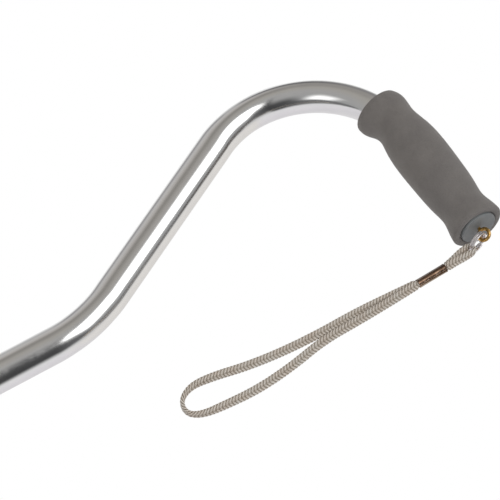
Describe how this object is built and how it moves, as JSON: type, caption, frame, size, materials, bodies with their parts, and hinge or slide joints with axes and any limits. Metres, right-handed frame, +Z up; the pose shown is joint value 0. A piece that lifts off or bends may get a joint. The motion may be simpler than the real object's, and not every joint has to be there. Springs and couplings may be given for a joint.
{
  "type": "walking cane",
  "caption": "Height-adjustable aluminium walking cane with an offset bent handle, a foam grip, a braided wrist strap on a ring, a telescoping leg and a rubber tip.",
  "frame": {"origin": "centre of the rubber tip's ground contact, on the shaft's axis, with the leg fully extended", "axes": "+Z up the shaft, +X the way the grip points, +Y across the plane of the bent tube"},
  "size_m": [0.1806, 0.038, 0.991],
  "materials": {
    "upper_tube": "polished and clear anodised aluminium tube",
    "lower_tube": "satin anodised aluminium tube",
    "foam_grip": "matt grey closed-cell foam rubber",
    "grip_end_cap": "moulded blue-grey plastic",
    "screw_eye": "plated brass wire",
    "split_ring": "nickel-plated flat spring wire",
    "ring_bight": "grey-beige braided cord",
    "wrist_cord": "grey-beige braided cord",
    "cord_ferrule": "bronze-coloured crimped sheet",
    "threaded_collar": "black moulded nylon",
    "compression_ring": "natural nylon",
    "lock_nut": "black moulded nylon",
    "top_bushing": "black moulded nylon",
    "button_spring": "tempered spring steel strip",
    "snap_button": "plated steel",
    "tip_washer": "zinc-plated steel",
    "rubber_tip": "moulded dark grey rubber"
  },
  "bodies": {
    "upper_frame": {"upper_tube": "upper_tube", "foam_grip": "foam_grip", "grip_end_cap": "grip_end_cap", "screw_eye": "screw_eye", "threaded_collar": "threaded_collar"},
    "leg": {"lower_tube": "lower_tube", "top_bushing": "top_bushing", "button_spring": "button_spring", "tip_washer": "tip_washer", "rubber_tip": "rubber_tip"},
    "button": {"snap_button": "snap_button"},
    "squeeze_ring": {"compression_ring": "compression_ring"},
    "nut": {"lock_nut": "lock_nut"},
    "key_ring": {"split_ring": "split_ring"},
    "strap": {"ring_bight": "ring_bight", "cord_ferrule": "cord_ferrule", "wrist_cord": "wrist_cord"}
  },
  "joints": [
    {"name": "leg_slide", "type": "slide", "parent": "upper_frame", "child": "leg", "axis": [0, 0, 1], "range_m": [0, 0.2286], "deforming": ["snap_button"]},
    {"name": "button_press", "type": "slide", "parent": "leg", "child": "button", "axis": [0, 1, 0], "range_m": [0, 0.005], "stiffness_N_per_m": 1500, "springref_m": -0.002, "deforming": ["button_spring"]},
    {"name": "ring_slide", "type": "slide", "parent": "upper_frame", "child": "squeeze_ring", "axis": [0, 0, -1], "range_m": [0, 0.0031]},
    {"name": "nut_turn", "type": "hinge", "parent": "squeeze_ring", "child": "nut", "pos_m": [0, 0, 0.3], "axis": [0, 0, -1], "range_deg": [0, 360]},
    {"name": "ring_swing", "type": "hinge", "parent": "upper_frame", "child": "key_ring", "pos_m": [0.07146, 0, 0.97436], "axis": [0, -1, 0], "range_deg": [-20, 55]},
    {"name": "strap_swing", "type": "hinge", "parent": "key_ring", "child": "strap", "pos_m": [0.07382, 0, 0.96852], "axis": [0.9272, 0, 0.3746], "range_deg": [-40, 40]}
  ],
  "couplings": [
    {"joint": "ring_slide", "follows": "nut_turn", "m_per_rad": 0.00047746}
  ]
}
